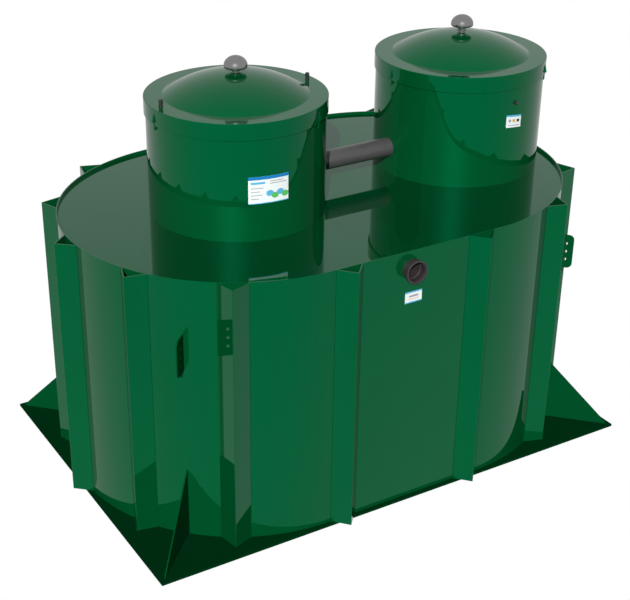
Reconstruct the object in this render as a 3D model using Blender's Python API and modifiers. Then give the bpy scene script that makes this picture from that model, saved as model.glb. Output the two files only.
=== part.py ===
"""Biological sewage treatment unit: a welded plastic tank with two lidded access shafts.

The tank is obround in plan and stands on a rectangular base plate. Folded V ribs
stiffen its wall, triangular gussets tie it to the corners of the base plate, and
four lugs with holes take the lifting gear. Metres, +Z up, +X along the tank,
origin on the ground under the middle of the tank.
"""
import math

import bpy
from mathutils import Vector

GAP = 0.0003                     # joint line between two touching pieces
CUTTER_SPARE = 0.1               # length by which a hole's cutter runs past a wall
WELD_DISTANCE = 0.00002          # points of one plate closer than this are one point

# Tank
HALF_WIDTH = 1.000               # outer radius of the round ends
STRAIGHT_HALF = 0.513            # half the length of the flat walls
TANK_HEIGHT = 1.555
WALL = 0.008
ARC_STEP = 3                     # degrees of one flat facet of a round wall
END_SEGMENTS = {"right_end_front": -90, "right_end_middle": -30, "right_end_back": 30,
                "left_end_back": 90, "left_end_middle": 150, "left_end_front": 210}
DECK_DEPTH = 0.018               # deck top below the rim
DECK_THICK = 0.010

# Base plate
BASE_HALF_LENGTH = 1.537
BASE_HALF_WIDTH = 1.024
BASE_THICK = 0.015

# V ribs
RIB_HALF_WIDTH = 0.081
RIB_DEPTH = 0.089
RIB_THICK = 0.007
RIB_ON_FLAT = 0.416              # distance of a flat wall's ribs from the middle
RIB_ANGLES = (-60, -30, 0, 30, 60)

# Corner gussets and lifting lugs, all on the diagonals of the round ends
DIAGONALS = {"front_right": -45, "back_right": 45, "back_left": 135, "front_left": -135}
GUSSET_REACH = 0.405
GUSSET_HEIGHT = 0.417
GUSSET_TIP = 0.010               # height of the blunt end at the plate's corner
GUSSET_THICK = 0.008
LUG_LOW = 1.039
LUG_HIGH = 1.248
LUG_REACH = 0.100
LUG_CORNER = 0.030
LUG_CORNER_STEP = 22.5           # degrees of one flat of a lug's corner
LUG_THICK = 0.007
LUG_HOLE_RADIUS = 0.010
LUG_HOLE_STEPS = 16
LUG_HOLE_PITCH = 0.050
LUG_HOLE_REACH = 0.055

# Access shafts and lids
SHAFT_X = {"shaft_1": -0.513, "shaft_2": 0.976}
SHAFT_RADIUS = 0.488
SHAFT_WALL = 0.008
SHAFT_STEPS = 48                 # flats round a shaft and round a lid
MANHOLE_RADIUS = 0.455
MANHOLE_STEPS = 48
LID_TOP = 2.191
LID_RADIUS = 0.4965
LID_WALL = 0.006
LID_CHAMFER = 0.004
SKIRT_HEIGHT = 0.090
DOME_RADIUS = 0.3955
DOME_HEIGHT = 0.115
DOME_STEPS = 6
CLIP_ANGLES = {"lid_1": (-178, -58, 62), "lid_2": (-178, -50, 66)}
CLIP_WIDTH = 0.014
CLIP_DEPTH = 0.006
CLIP_HOOK = 0.014
CLIP_LOW = 2.076
CLIP_HIGH = 2.155
CLIP_NOSE = 2.119                # underside of the hook
CLIP_LIP = 0.004
CLIP_ROOT = 0.003                # depth of a clip in the skirt

# Mushroom knob on each lid
KNOB_RISE = {"knob_1": 0.015, "knob_2": 0.028}  # the cap's underside above the dome
KNOB_CAP_RADIUS = 0.0645
KNOB_CAP_HEIGHT = 0.074
KNOB_LIP = 0.010                 # height of the band round the cap's rim
KNOB_LIP_RADIUS = 0.062
KNOB_TAPER = 0.010               # height over which the cap narrows below its rim
KNOB_TAPER_RADIUS = 0.055
KNOB_COLLAR_RADIUS = 0.028
KNOB_COLLAR_HEIGHT = 0.004
KNOB_STEM_RADIUS = 0.024
KNOB_ARC = (70, 48, 24, 0)       # directions of the cap's points, in degrees
KNOB_STEPS = 24

# Bolts that stand on the first lid
BOLT_REACH = 0.445
BOLT_RADIUS = 0.012
BOLT_HEIGHT = 0.040
BOLT_CHAMFER = 0.005
BOLT_STEPS = 12

# Pipework
PIPE_RADIUS = 0.055
PIPE_WALL = 0.0035
PIPE_STEPS = 32                  # flats round a pipe and round a socket
PIPE_HOLE_STEPS = 36
CROSS_PIPE_RISE = 0.156          # axis above the deck
CROSS_PIPE_PROUD = 0.020         # length that stands inside each shaft
SOCKET_X = -0.031
SOCKET_Z = 1.448
SOCKET_PROUD = 0.053
SOCKET_INSIDE = 0.080
SOCKET_RADIUS = 0.0605
BEAD_RADIUS = 0.0650
BEAD_LENGTH = 0.020
SOCKET_BORE = 0.0555
SOCKET_STEP = 0.004              # length of the slopes inside and outside

# Cable gland on the second shaft
GLAND_ANGLE = -86.25             # middle of one flat of the shaft
GLAND_Z = 2.019
GLAND_RADIUS = 0.015
GLAND_REACH = 0.016
GLAND_NUT = 0.008                # thickness of the nut at the shaft
GLAND_NECK_RADIUS = 0.009
GLAND_STEPS = 16

# Short strip that laps the wall sheets at the rim
STRIP_START = (-0.935, -0.886)
STRIP_END = (-0.750, -0.934)
STRIP_THICK = 0.007

DECK_TOP = TANK_HEIGHT - DECK_DEPTH
CROSS_PIPE_Z = DECK_TOP + CROSS_PIPE_RISE
FLOOR = BASE_THICK + GAP
INNER = HALF_WIDTH - WALL

GREEN = (0.000, 0.185, 0.060, 1)
DARK_GREEN = (0.000, 0.052, 0.012, 1)
GREY = (0.120, 0.115, 0.118, 1)
LIGHT_GREY = (0.230, 0.230, 0.235, 1)
BLACK = (0.020, 0.020, 0.020, 1)

GLOSS = 0.12                     # roughness of the green sheet
SATIN = 0.30                     # of pipes and knobs
PLATE_FINISH = 0.35              # of the base plate
DULL = 0.40                      # of bolts and the gland


def clear_scene():
    for old in list(bpy.data.objects):
        bpy.data.objects.remove(old, do_unlink=True)


def make_collection(name):
    collection = bpy.data.collections.new(name)
    bpy.context.scene.collection.children.link(collection)
    return collection


def finish(obj, colour, roughness):
    """Give a piece a material of its own."""
    material = bpy.data.materials.new(obj.name)
    material.use_nodes = True
    shader = material.node_tree.nodes["Principled BSDF"]
    shader.inputs["Base Color"].default_value = colour
    shader.inputs["Roughness"].default_value = roughness
    shader.inputs["Metallic"].default_value = 0.0
    obj.data.materials.append(material)


def add_object(name, data, collection):
    obj = bpy.data.objects.new(name, data)
    collection.objects.link(obj)
    return obj


def block(name, low, high, collection):
    """A box between two corners, from the cube primitive."""
    middle = [(a + b) / 2 for a, b in zip(low, high)]
    bpy.ops.mesh.primitive_cube_add(size=1, location=middle)
    obj = bpy.context.object
    obj.name = name
    obj.scale = [b - a for a, b in zip(low, high)]
    bpy.ops.object.transform_apply(location=False, rotation=False, scale=True)
    move_to(obj, collection)
    return obj


def sheet(name, loops, thickness, collection):
    """A flat plate: closed outlines in one 2D curve, the later ones as holes."""
    curve = bpy.data.curves.new(name, "CURVE")
    curve.dimensions = "2D"
    curve.fill_mode = "BOTH"
    curve.extrude = thickness / 2
    for loop in loops:
        spline = curve.splines.new("POLY")
        spline.points.add(len(loop) - 1)
        for point, (x, y) in zip(spline.points, loop):
            point.co = (x, y, 0, 1)
        spline.use_cyclic_u = True
    obj = add_object(name, curve, collection)
    weld = obj.modifiers.new("weld", "WELD")
    weld.merge_threshold = WELD_DISTANCE
    return obj


def line_mesh(name, points, closed):
    """A profile in the XZ plane, ready for the Screw modifier."""
    mesh = bpy.data.meshes.new(name)
    edges = [(i, i + 1) for i in range(len(points) - 1)]
    if closed:
        edges.append((len(points) - 1, 0))
    mesh.from_pydata([(x, 0, z) for x, z in points], edges, [])
    return mesh


def turned(name, points, steps, collection, closed=False, shell=None):
    """A profile turned about Z, with a wall thickness where it is a shell."""
    obj = add_object(name, line_mesh(name, points, closed), collection)
    screw = obj.modifiers.new("turn", "SCREW")
    screw.angle = 2 * math.pi
    screw.steps = steps
    screw.render_steps = steps
    screw.use_smooth_shade = True
    screw.use_merge_vertices = True
    screw.merge_threshold = WELD_DISTANCE
    if shell:
        solidify = obj.modifiers.new("wall", "SOLIDIFY")
        solidify.thickness = shell
        solidify.offset = -1
        solidify.use_even_offset = True
    return obj


def move_to(obj, collection):
    for holder in list(obj.users_collection):
        holder.objects.unlink(obj)
    collection.objects.link(obj)


def hide_cutter(obj):
    obj.hide_render = True
    obj.display_type = "WIRE"


def rod_cutter(name, centre, rotation, cutters):
    """A cylinder used only to cut the hole that a pipe passes through."""
    bpy.ops.mesh.primitive_cylinder_add(vertices=PIPE_HOLE_STEPS, radius=PIPE_RADIUS + GAP,
                                        depth=2 * CUTTER_SPARE, location=centre, rotation=rotation)
    obj = bpy.context.object
    obj.name = name
    move_to(obj, cutters)
    hide_cutter(obj)
    return obj


def combine(obj, other, operation):
    boolean = obj.modifiers.new(operation.lower(), "BOOLEAN")
    boolean.operation = operation
    boolean.solver = "EXACT"
    boolean.object = other


def circle(x, y, radius, count):
    return [(x + radius * math.cos(2 * math.pi * i / count),
             y + radius * math.sin(2 * math.pi * i / count)) for i in range(count)]


def arc(x, y, radius, start, end, step):
    """Points of an arc from start to end, in degrees."""
    count = max(1, round(abs(end - start) / step))
    return [(x + radius * math.cos(math.radians(start + (end - start) * i / count)),
             y + radius * math.sin(math.radians(start + (end - start) * i / count)))
            for i in range(count + 1)]


def wall_arc(radius, start):
    """One 60 degree stretch of a round wall, shortened at both ends by half a joint line."""
    points = arc(0, 0, radius, start, start + 60, ARC_STEP)
    joint = math.degrees(GAP / 2 / INNER)
    points[0] = arc(0, 0, radius, start + joint, start + 1, 1)[0]
    points[-1] = arc(0, 0, radius, start + 60 - joint, start + 60, 1)[0]
    return points


def round_wall_x(y):
    """Distance of a round wall's flat facets from its axis, beside a point on a diagonal."""
    facet = math.floor(math.degrees(math.asin(y / HALF_WIDTH)) / ARC_STEP)
    normal = math.radians((facet + 0.5) * ARC_STEP)
    inner_circle = HALF_WIDTH * math.cos(math.radians(ARC_STEP / 2))
    return (inner_circle - y * math.sin(normal)) / math.cos(normal)


def end_centre(degrees):
    """X of the axis of the round end that a direction belongs to."""
    return STRAIGHT_HALF if math.cos(math.radians(degrees)) > 0 else -STRAIGHT_HALF


def make_base(parts):
    plate = block("base_plate", (-BASE_HALF_LENGTH, -BASE_HALF_WIDTH, 0),
                  (BASE_HALF_LENGTH, BASE_HALF_WIDTH, BASE_THICK), parts)
    finish(plate, DARK_GREEN, PLATE_FINISH)


def make_walls(parts, cutters):
    """Two flat walls with a pipe hole each, and three segments for each round end."""
    for name, low, high in (("front_wall", -HALF_WIDTH, -INNER), ("back_wall", INNER, HALF_WIDTH)):
        wall = block(name, (-STRAIGHT_HALF + GAP / 2, low, FLOOR),
                     (STRAIGHT_HALF - GAP / 2, high, TANK_HEIGHT), parts)
        hole = rod_cutter(name + "_hole", (SOCKET_X, (low + high) / 2, SOCKET_Z),
                          (math.pi / 2, 0, 0), cutters)
        combine(wall, hole, "DIFFERENCE")
        finish(wall, GREEN, GLOSS)
    height = TANK_HEIGHT - FLOOR
    for name, start in END_SEGMENTS.items():
        outline = wall_arc(HALF_WIDTH, start) + wall_arc(INNER, start)[::-1]
        wall = sheet(name, [outline], height, parts)
        wall.location = (end_centre(start + 1), 0, FLOOR + height / 2)
        finish(wall, GREEN, GLOSS)


def make_deck(parts):
    """The recessed deck, with an opening under each shaft."""
    radius = INNER - GAP
    outline = arc(STRAIGHT_HALF, 0, radius, -90, 90, ARC_STEP)
    outline += arc(-STRAIGHT_HALF, 0, radius, 90, 270, ARC_STEP)
    holes = [circle(x, 0, MANHOLE_RADIUS, MANHOLE_STEPS) for x in SHAFT_X.values()]
    deck = sheet("deck", [outline] + holes, DECK_THICK, parts)
    deck.location.z = DECK_TOP - DECK_THICK / 2
    finish(deck, GREEN, GLOSS)


def rib_outline(wall_x):
    """The V of a rib in plan, point towards +X, its two open edges against the wall."""
    tip = HALF_WIDTH + RIB_DEPTH
    slope = math.hypot(RIB_DEPTH, RIB_HALF_WIDTH)
    edge = RIB_HALF_WIDTH
    inner_edge = edge - RIB_THICK * slope / RIB_DEPTH
    inner_tip = tip - RIB_THICK * slope / RIB_HALF_WIDTH
    return [(wall_x(edge) + GAP, -edge), (tip, 0), (wall_x(edge) + GAP, edge),
            (wall_x(inner_edge) + GAP, inner_edge), (inner_tip, 0),
            (wall_x(inner_edge) + GAP, -inner_edge)]


def make_rib(name, x, degrees, outline, parts):
    height = TANK_HEIGHT - FLOOR
    rib = sheet(name, [outline], height, parts)
    rib.location = (x, 0, FLOOR + height / 2)
    rib.rotation_euler.z = math.radians(degrees)
    finish(rib, GREEN, GLOSS)


def make_ribs(parts):
    """Five ribs around each round end and two on each flat wall."""
    on_round = rib_outline(round_wall_x)
    on_flat = rib_outline(lambda y: HALF_WIDTH)
    for number, degrees in enumerate(RIB_ANGLES, 1):
        make_rib(f"rib_right_{number}", STRAIGHT_HALF, degrees, on_round, parts)
        make_rib(f"rib_left_{number}", -STRAIGHT_HALF, 180 - degrees, on_round, parts)
    for number, x in enumerate((-RIB_ON_FLAT, RIB_ON_FLAT), 1):
        make_rib(f"rib_front_{number}", x, -90, on_flat, parts)
        make_rib(f"rib_back_{number}", x, 90, on_flat, parts)


def stand_on_diagonal(obj, degrees):
    """Turn a plate drawn in the XY plane upright, its X pointing away from the tank."""
    obj.rotation_euler = (math.pi / 2, 0, math.radians(degrees))
    obj.location = (end_centre(degrees), 0, 0)


def make_gussets(parts):
    low = FLOOR
    inner = HALF_WIDTH + GAP
    outer = HALF_WIDTH + GUSSET_REACH
    loop = [(inner, low), (outer, low), (outer, low + GUSSET_TIP), (inner, low + GUSSET_HEIGHT)]
    for place, degrees in DIAGONALS.items():
        gusset = sheet("gusset_" + place, [loop], GUSSET_THICK, parts)
        stand_on_diagonal(gusset, degrees)
        finish(gusset, GREEN, GLOSS)


def make_lugs(parts):
    inner = HALF_WIDTH + GAP
    corner_x = HALF_WIDTH + LUG_REACH - LUG_CORNER
    loop = [(inner, LUG_LOW)]
    loop += arc(corner_x, LUG_LOW + LUG_CORNER, LUG_CORNER, -90, 0, LUG_CORNER_STEP)
    loop += arc(corner_x, LUG_HIGH - LUG_CORNER, LUG_CORNER, 0, 90, LUG_CORNER_STEP)
    loop += [(inner, LUG_HIGH)]
    middle = (LUG_LOW + LUG_HIGH) / 2
    holes = [circle(HALF_WIDTH + LUG_HOLE_REACH, middle + step * LUG_HOLE_PITCH, LUG_HOLE_RADIUS,
                    LUG_HOLE_STEPS) for step in (-1, 0, 1)]
    for place, degrees in DIAGONALS.items():
        lug = sheet("lifting_lug_" + place, [loop] + holes, LUG_THICK, parts)
        stand_on_diagonal(lug, degrees)
        finish(lug, GREEN, GLOSS)


def make_shafts(parts, cutters):
    """Two upright tubes on the deck, each with a hole for the pipe between them."""
    top = LID_TOP - LID_WALL - GAP
    line = [(SHAFT_RADIUS, top), (SHAFT_RADIUS, DECK_TOP + GAP)]
    for name, x in SHAFT_X.items():
        shaft = turned(name, line, SHAFT_STEPS, parts, shell=SHAFT_WALL)
        shaft.location.x = x
        side = 1 if name == "shaft_1" else -1
        hole = rod_cutter(name + "_hole", (x + side * SHAFT_RADIUS, 0, CROSS_PIPE_Z),
                          (0, math.pi / 2, 0), cutters)
        combine(shaft, hole, "DIFFERENCE")
        finish(shaft, GREEN, GLOSS)


def lid_profile():
    """Dome, flat ring and skirt of a lid, from the middle outwards and down."""
    sphere = (DOME_RADIUS ** 2 + DOME_HEIGHT ** 2) / (2 * DOME_HEIGHT)
    half_angle = math.degrees(math.asin(DOME_RADIUS / sphere))
    centre = DOME_HEIGHT - sphere
    dome = arc(0, centre, sphere, 90, 90 - half_angle, half_angle / DOME_STEPS)
    points = [(0, LID_TOP + DOME_HEIGHT)]
    points += [(x, LID_TOP + z) for x, z in dome[1:]]
    points += [(LID_RADIUS - LID_CHAMFER, LID_TOP), (LID_RADIUS, LID_TOP - LID_CHAMFER),
               (LID_RADIUS, LID_TOP - SKIRT_HEIGHT)]
    return points


def clip_outline():
    """Side view of a lid clip: a strap on the skirt with a hooked head."""
    root = LID_RADIUS - CLIP_ROOT
    tail = LID_RADIUS + CLIP_ROOT
    strap = LID_RADIUS + CLIP_DEPTH
    nose = LID_RADIUS + CLIP_HOOK
    seat = LID_TOP - SKIRT_HEIGHT + CLIP_ROOT
    return [(tail, CLIP_LOW), (strap, CLIP_LOW), (strap, CLIP_NOSE), (nose, CLIP_NOSE),
            (nose, CLIP_NOSE + CLIP_LIP), (strap, CLIP_HIGH), (root, CLIP_HIGH),
            (root, seat), (tail, seat)]


def upright_sheet_mesh(name, loop, thickness, degrees, centre_x, cutters):
    """A plate turned upright and made a mesh, so that it can join a lid."""
    plate = sheet(name, [loop], thickness, cutters)
    plate.rotation_euler = (math.pi / 2, 0, math.radians(degrees))
    plate.location = (centre_x, 0, 0)
    bpy.context.view_layer.update()
    graph = bpy.context.evaluated_depsgraph_get()
    mesh = bpy.data.meshes.new_from_object(plate.evaluated_get(graph))
    solid = add_object(name + "_solid", mesh, cutters)
    solid.matrix_world = plate.matrix_world
    bpy.data.objects.remove(plate, do_unlink=True)
    hide_cutter(solid)
    return solid


def make_lids(parts, cutters):
    """Two domed lids, each with three clips on its skirt."""
    for number, x in enumerate(SHAFT_X.values(), 1):
        name = f"lid_{number}"
        lid = turned(name, lid_profile(), SHAFT_STEPS, parts, shell=LID_WALL)
        lid.location.x = x
        for degrees in CLIP_ANGLES[name]:
            clip = upright_sheet_mesh(f"{name}_clip_{degrees}", clip_outline(), CLIP_WIDTH,
                                      degrees, x, cutters)
            combine(lid, clip, "UNION")
        finish(lid, GREEN, GLOSS)


def knob_profile(rise):
    """Cap, collar and stem of a knob, from its top down, above the flat of the lid."""
    foot = DOME_HEIGHT + GAP
    under = DOME_HEIGHT + rise
    top = under + KNOB_CAP_HEIGHT
    rim = under + KNOB_TAPER
    widest = rim + KNOB_LIP
    points = [(0, top)]
    for degrees in KNOB_ARC:
        turn = math.radians(degrees)
        points.append((KNOB_CAP_RADIUS * math.cos(turn), widest + (top - widest) * math.sin(turn)))
    points += [(KNOB_LIP_RADIUS, rim), (KNOB_TAPER_RADIUS, rim), (KNOB_COLLAR_RADIUS, under),
               (KNOB_COLLAR_RADIUS, under - KNOB_COLLAR_HEIGHT),
               (KNOB_STEM_RADIUS, under - KNOB_COLLAR_HEIGHT),
               (KNOB_STEM_RADIUS, foot), (0, foot)]
    return points


def make_knobs(parts):
    """A mushroom knob in the middle of each lid."""
    for (name, rise), x in zip(KNOB_RISE.items(), SHAFT_X.values()):
        knob = turned(name, knob_profile(rise), KNOB_STEPS, parts)
        knob.location = (x, 0, LID_TOP)
        finish(knob, LIGHT_GREY, SATIN)


def make_bolts(parts):
    """Two round-headed bolts on the flat ring of the first lid."""
    points = [(0, BOLT_HEIGHT), (BOLT_RADIUS - BOLT_CHAMFER, BOLT_HEIGHT),
              (BOLT_RADIUS, BOLT_HEIGHT - BOLT_CHAMFER), (BOLT_RADIUS, GAP), (0, GAP)]
    for place, side in (("left", -1), ("right", 1)):
        bolt = turned("lid_bolt_" + place, points, BOLT_STEPS, parts)
        bolt.location = (SHAFT_X["shaft_1"] + side * BOLT_REACH, 0, LID_TOP)
        finish(bolt, BLACK, DULL)


def make_cross_pipe(parts):
    """The pipe that joins the two shafts above the deck."""
    start = SHAFT_X["shaft_1"] + SHAFT_RADIUS - SHAFT_WALL - CROSS_PIPE_PROUD
    end = SHAFT_X["shaft_2"] - SHAFT_RADIUS + SHAFT_WALL + CROSS_PIPE_PROUD
    pipe = turned("cross_pipe", [(PIPE_RADIUS, (end - start) / 2), (PIPE_RADIUS, (start - end) / 2)],
                  PIPE_STEPS, parts, shell=PIPE_WALL)
    pipe.location = ((start + end) / 2, 0, CROSS_PIPE_Z)
    pipe.rotation_euler.y = math.pi / 2
    finish(pipe, GREY, SATIN)


def make_sockets(parts):
    """A push-fit pipe socket through the front wall, and its twin through the back wall."""
    bore = PIPE_RADIUS - PIPE_WALL
    ring = [(BEAD_RADIUS, SOCKET_PROUD), (BEAD_RADIUS, SOCKET_PROUD - BEAD_LENGTH),
            (SOCKET_RADIUS, SOCKET_PROUD - BEAD_LENGTH - SOCKET_STEP), (SOCKET_RADIUS, GAP),
            (PIPE_RADIUS, GAP), (PIPE_RADIUS, -SOCKET_INSIDE), (bore, -SOCKET_INSIDE),
            (bore, GAP), (SOCKET_BORE, SOCKET_STEP), (SOCKET_BORE, SOCKET_PROUD)]
    for name, side in (("inlet_socket", -1), ("outlet_socket", 1)):
        socket = turned(name, ring, PIPE_STEPS, parts, closed=True)
        socket.location = (SOCKET_X, side * HALF_WIDTH, SOCKET_Z)
        socket.rotation_euler.x = -side * math.pi / 2
        finish(socket, GREY, SATIN)


def make_gland(parts):
    points = [(0, GLAND_REACH), (GLAND_NECK_RADIUS, GLAND_REACH), (GLAND_NECK_RADIUS, GLAND_NUT),
              (GLAND_RADIUS, GLAND_NUT), (GLAND_RADIUS, GAP), (0, GAP)]
    gland = turned("cable_gland", points, GLAND_STEPS, parts)
    turn = math.radians(GLAND_ANGLE)
    facet = SHAFT_RADIUS * math.cos(math.pi / SHAFT_STEPS)
    gland.location = (SHAFT_X["shaft_2"] + facet * math.cos(turn), facet * math.sin(turn), GLAND_Z)
    gland.rotation_euler = (0, math.pi / 2, turn)
    finish(gland, BLACK, DULL)


def make_strip(parts):
    """The short upright strip inside the rim, on the deck."""
    start = Vector(STRIP_START)
    end = Vector(STRIP_END)
    along = (end - start).normalized()
    across = Vector((-along.y, along.x)) * STRIP_THICK / 2
    loop = [tuple(p) for p in (start - across, end - across, end + across, start + across)]
    height = DECK_DEPTH - GAP
    strip = sheet("rim_strip", [loop], height, parts)
    strip.location.z = DECK_TOP + GAP + height / 2
    finish(strip, GREEN, GLOSS)


def build():
    clear_scene()
    parts = make_collection("sewage_treatment_unit")
    cutters = make_collection("cutters")
    make_base(parts)
    make_walls(parts, cutters)
    make_deck(parts)
    make_ribs(parts)
    make_gussets(parts)
    make_lugs(parts)
    make_shafts(parts, cutters)
    make_lids(parts, cutters)
    make_knobs(parts)
    make_bolts(parts)
    make_cross_pipe(parts)
    make_sockets(parts)
    make_gland(parts)
    make_strip(parts)


build()
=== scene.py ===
"""Looks of a biological sewage treatment unit: glossy green plastic sheet, welded.

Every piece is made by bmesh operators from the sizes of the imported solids. Metres, +Z up,
+X along the tank, origin on the ground under its middle.
"""
import math

import bmesh
import bpy
from mathutils import Matrix, Vector


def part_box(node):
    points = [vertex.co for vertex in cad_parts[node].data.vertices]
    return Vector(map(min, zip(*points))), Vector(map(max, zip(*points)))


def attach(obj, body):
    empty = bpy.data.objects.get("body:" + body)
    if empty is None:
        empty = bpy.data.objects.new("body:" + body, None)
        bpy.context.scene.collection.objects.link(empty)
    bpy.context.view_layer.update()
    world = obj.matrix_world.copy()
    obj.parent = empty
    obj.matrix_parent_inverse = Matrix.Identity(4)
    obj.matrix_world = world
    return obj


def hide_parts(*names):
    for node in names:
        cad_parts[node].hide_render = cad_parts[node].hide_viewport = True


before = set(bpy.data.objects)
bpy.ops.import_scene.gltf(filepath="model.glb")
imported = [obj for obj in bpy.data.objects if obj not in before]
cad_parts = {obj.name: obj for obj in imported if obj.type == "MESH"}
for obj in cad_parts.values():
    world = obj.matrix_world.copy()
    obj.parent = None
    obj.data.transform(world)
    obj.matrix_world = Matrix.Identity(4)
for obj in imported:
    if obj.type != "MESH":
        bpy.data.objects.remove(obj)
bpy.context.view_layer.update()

WHOLE_TURN = 2 * math.pi
MERGE = 0.00001
JOINT = 0.0003                     # joint line between two touching pieces

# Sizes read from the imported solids
wall_low, wall_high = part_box("front_wall")
base_low, base_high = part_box("base_plate")
end_rib_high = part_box("rib_right_3")[1]
RADIUS = -wall_low.y               # outside of the round ends
WALL = wall_high.y - wall_low.y    # thickness of the wall
INNER = RADIUS - WALL
STRAIGHT = wall_high.x + JOINT / 2  # distance of the round ends' axes from the middle
FOOT = wall_low.z                  # underside of the walls and ribs
RIM = wall_high.z                  # their top
RIB_TIP = end_rib_high.x - STRAIGHT
RIB_HALF = end_rib_high.y          # half the width of a rib

# Facets
BEND_STEPS = 40                    # in 60 degrees of the tank wall
ROUND_STEPS = 144                  # round a shaft or a lid
SMALL_STEPS = 64                   # round a pipe, a socket or a knob
FINE_STEPS = 32                    # round a bolt, the gland or a lug's hole
DOME_STEPS = 20                    # down a lid's dome
CAP_STEPS = 14                     # down a knob's cap
CORNER_STEPS = 5                   # in a rounded corner
GLAND_SIDES = 6
WELD_SIDES = 8
WELD_STEPS = 90                    # in a half turn of the weld round the tank
LABEL_STEPS = 24                   # across a label
EDGE = 0.0012                      # rounding of a sheet's cut edges
FINE_ROUND = 0.001                 # rounding of a fitting's crisp corners
SOFT_ROUND = 0.002                 # rounding of its softer ones
SHARP = 40                         # degrees from which an edge is rounded off

# Sheet pieces
RIB_SHEET = 0.007
RIB_FOLD = 0.0035                  # rounding of a rib's fold
FLAT_RIB = 0.416                   # distance of a flat wall's ribs from the middle
RIB_ANGLES = (-60, -30, 0, 30, 60)
DIAGONALS = {"front_right": -45, "back_right": 45, "back_left": 135, "front_left": -135}
END_SEGMENTS = {"right_end_front": -90, "right_end_middle": -30, "right_end_back": 30,
                "left_end_back": 90, "left_end_middle": 150, "left_end_front": 210}
GUSSET_SHEET = 0.008
GUSSET_REACH = 0.405
GUSSET_HEIGHT = 0.417
GUSSET_TIP = 0.010                 # height of a gusset's blunt end
LUG_SHEET = 0.007
LUG_REACH = 0.100
LUG_CORNER = 0.030
LUG_HOLE = 0.010                   # radius of a hole
LUG_PITCH = 0.050                  # between two holes
LUG_HOLE_REACH = 0.055             # of the holes from the wall
STRIP_SHEET = 0.006
STRIP_LEAN = 0.001                 # how far the strip's ends stay inside its box
WELD = 0.0012                      # radius of a weld bead

# Lids
DOME_RADIUS = 0.3955
DOME_HEIGHT = 0.115
LID_WALL = 0.006
LID_EDGE = 0.004                   # rounding between the flat ring and the skirt
SKIRT = 0.090                      # height of the skirt
DOME_CREASE = 0.005                # rounding between the dome and the flat ring
CLIP_ANGLES = {"lid_1": (-178, -58, 62), "lid_2": (-178, -50, 66)}
CLIP_WIDTH = 0.012
CLIP_STRAP = 0.0025                # how far a clip's strap stands proud of the skirt
CLIP_HOOK = 0.011                  # how far its hook does
CLIP_FOOT = 0.115                  # below the lid's flat ring, as the next three
CLIP_NOSE = 0.072
CLIP_LIP = 0.068
CLIP_HEAD = 0.028
CLIP_ROOT = 0.0055                 # depth of a clip in the skirt

# Round fittings
SHAFT_WALL = 0.008
TUBE_LEVEL = 0.5                   # rise of a face's normal from which it is a tube's end
TUBE_FACING = 0.99                 # how nearly a face of the tube itself looks straight out or in
PIPE_OUTER = 0.055
PIPE_WALL = 0.0035
SOCKET_BODY = 0.0605               # outer radius of a socket behind its bead
SOCKET_BORE = 0.0555
SOCKET_SLOPE = 0.004               # length of the slopes behind the bead and inside
BEAD_LENGTH = 0.020
BEAD_ROUND = 0.004
MOUTH_LENGTH = 0.003               # of the widening at a socket's mouth
MOUTH_FLARE = 0.002
SEAL_DEPTH = 0.010                 # of the rubber ring below the mouth
SEAL_LENGTH = 0.008
SEAL_HEIGHT = 0.003
SEAL_SLOPE = 0.002
KNOB_CAP = 0.074                   # height of a knob's cap
KNOB_TAPER = 0.010                 # height over which the cap narrows below its rim
KNOB_TAPER_RADIUS = 0.055
KNOB_LIP = 0.010                   # height of the band round the cap's rim
KNOB_LIP_RADIUS = 0.062
KNOB_LIP_ROUND = 0.003
KNOB_COLLAR = 0.028                # radius of the collar under the cap
KNOB_COLLAR_HEIGHT = 0.004
KNOB_STEM = 0.024                  # radius of the stem
KNOB_FILLET = 0.004
BOLT_NECK = 0.85                   # radius of a bolt's neck over that of its head
BOLT_HEAD = 0.022                  # height of the head
BOLT_DOME = 0.006                  # rounding of its top
BOLT_WASHER = 0.006
GLAND_NUT = 0.007                  # thickness of the gland's nut
GLAND_NUT_EDGE = 0.0008
GLAND_SHOULDER = 0.0105            # radius of its cap at the nut
GLAND_CAP = 0.009                  # and at the end
GLAND_TOP = 0.0155                 # reach of the cap
GLAND_MOUTH = 0.005                # radius of the plugged mouth
GLAND_PLUG = 0.0145                # reach of the plug
GLAND_ROUND = 0.0005

# Labels: where one begins and ends, round a shaft in degrees or along the wall, then its two heights
LARGE_LABEL = (-111.8, -85.4, 1.748, 1.899)
SMALL_LABEL = (-92.8, -79.8, 1.878, 1.951)
SMALL_LABEL_DROP = 0.012           # its right end is stuck on lower
WALL_LABEL = (-0.0657, 0.0421, 1.250, 1.317)
FILM = 0.0004                      # thickness of a label
LARGE_ASPECT = 1.22                # width over height, which keeps printed dots round
SMALL_ASPECT = 1.32

# Marks in the plastics: how many of them lie along a metre, and how deep they are
CLOUD_SCALE = 1.7
HAZE_SCALE = 5.0
MOTTLE_SCALE = 48.0
ROLLING_SCALE = (9.0, 9.0, 0.8)    # long upright marks of the rolls
PEEL_SCALE = 160.0
PATCH_SCALE = 22.0
FIBRE_SCALE = 300.0
SHEET_DEPTH = 0.00012
GRAIN_DEPTH = 0.0001
SHEET_SPREAD = 0.16                # how much darker and lighter than its colour a sheet gets
MOULDED_SPREAD = 0.2
SHEET_IOR = 1.6
SHEET_TINT = (0.0, 0.98, 0.49, 1.0)
MOULDED_IOR = 1.5
KNOB_IOR = 3.2                     # a strong grey shine over a dark body
FILM_IOR = 1.45

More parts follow.
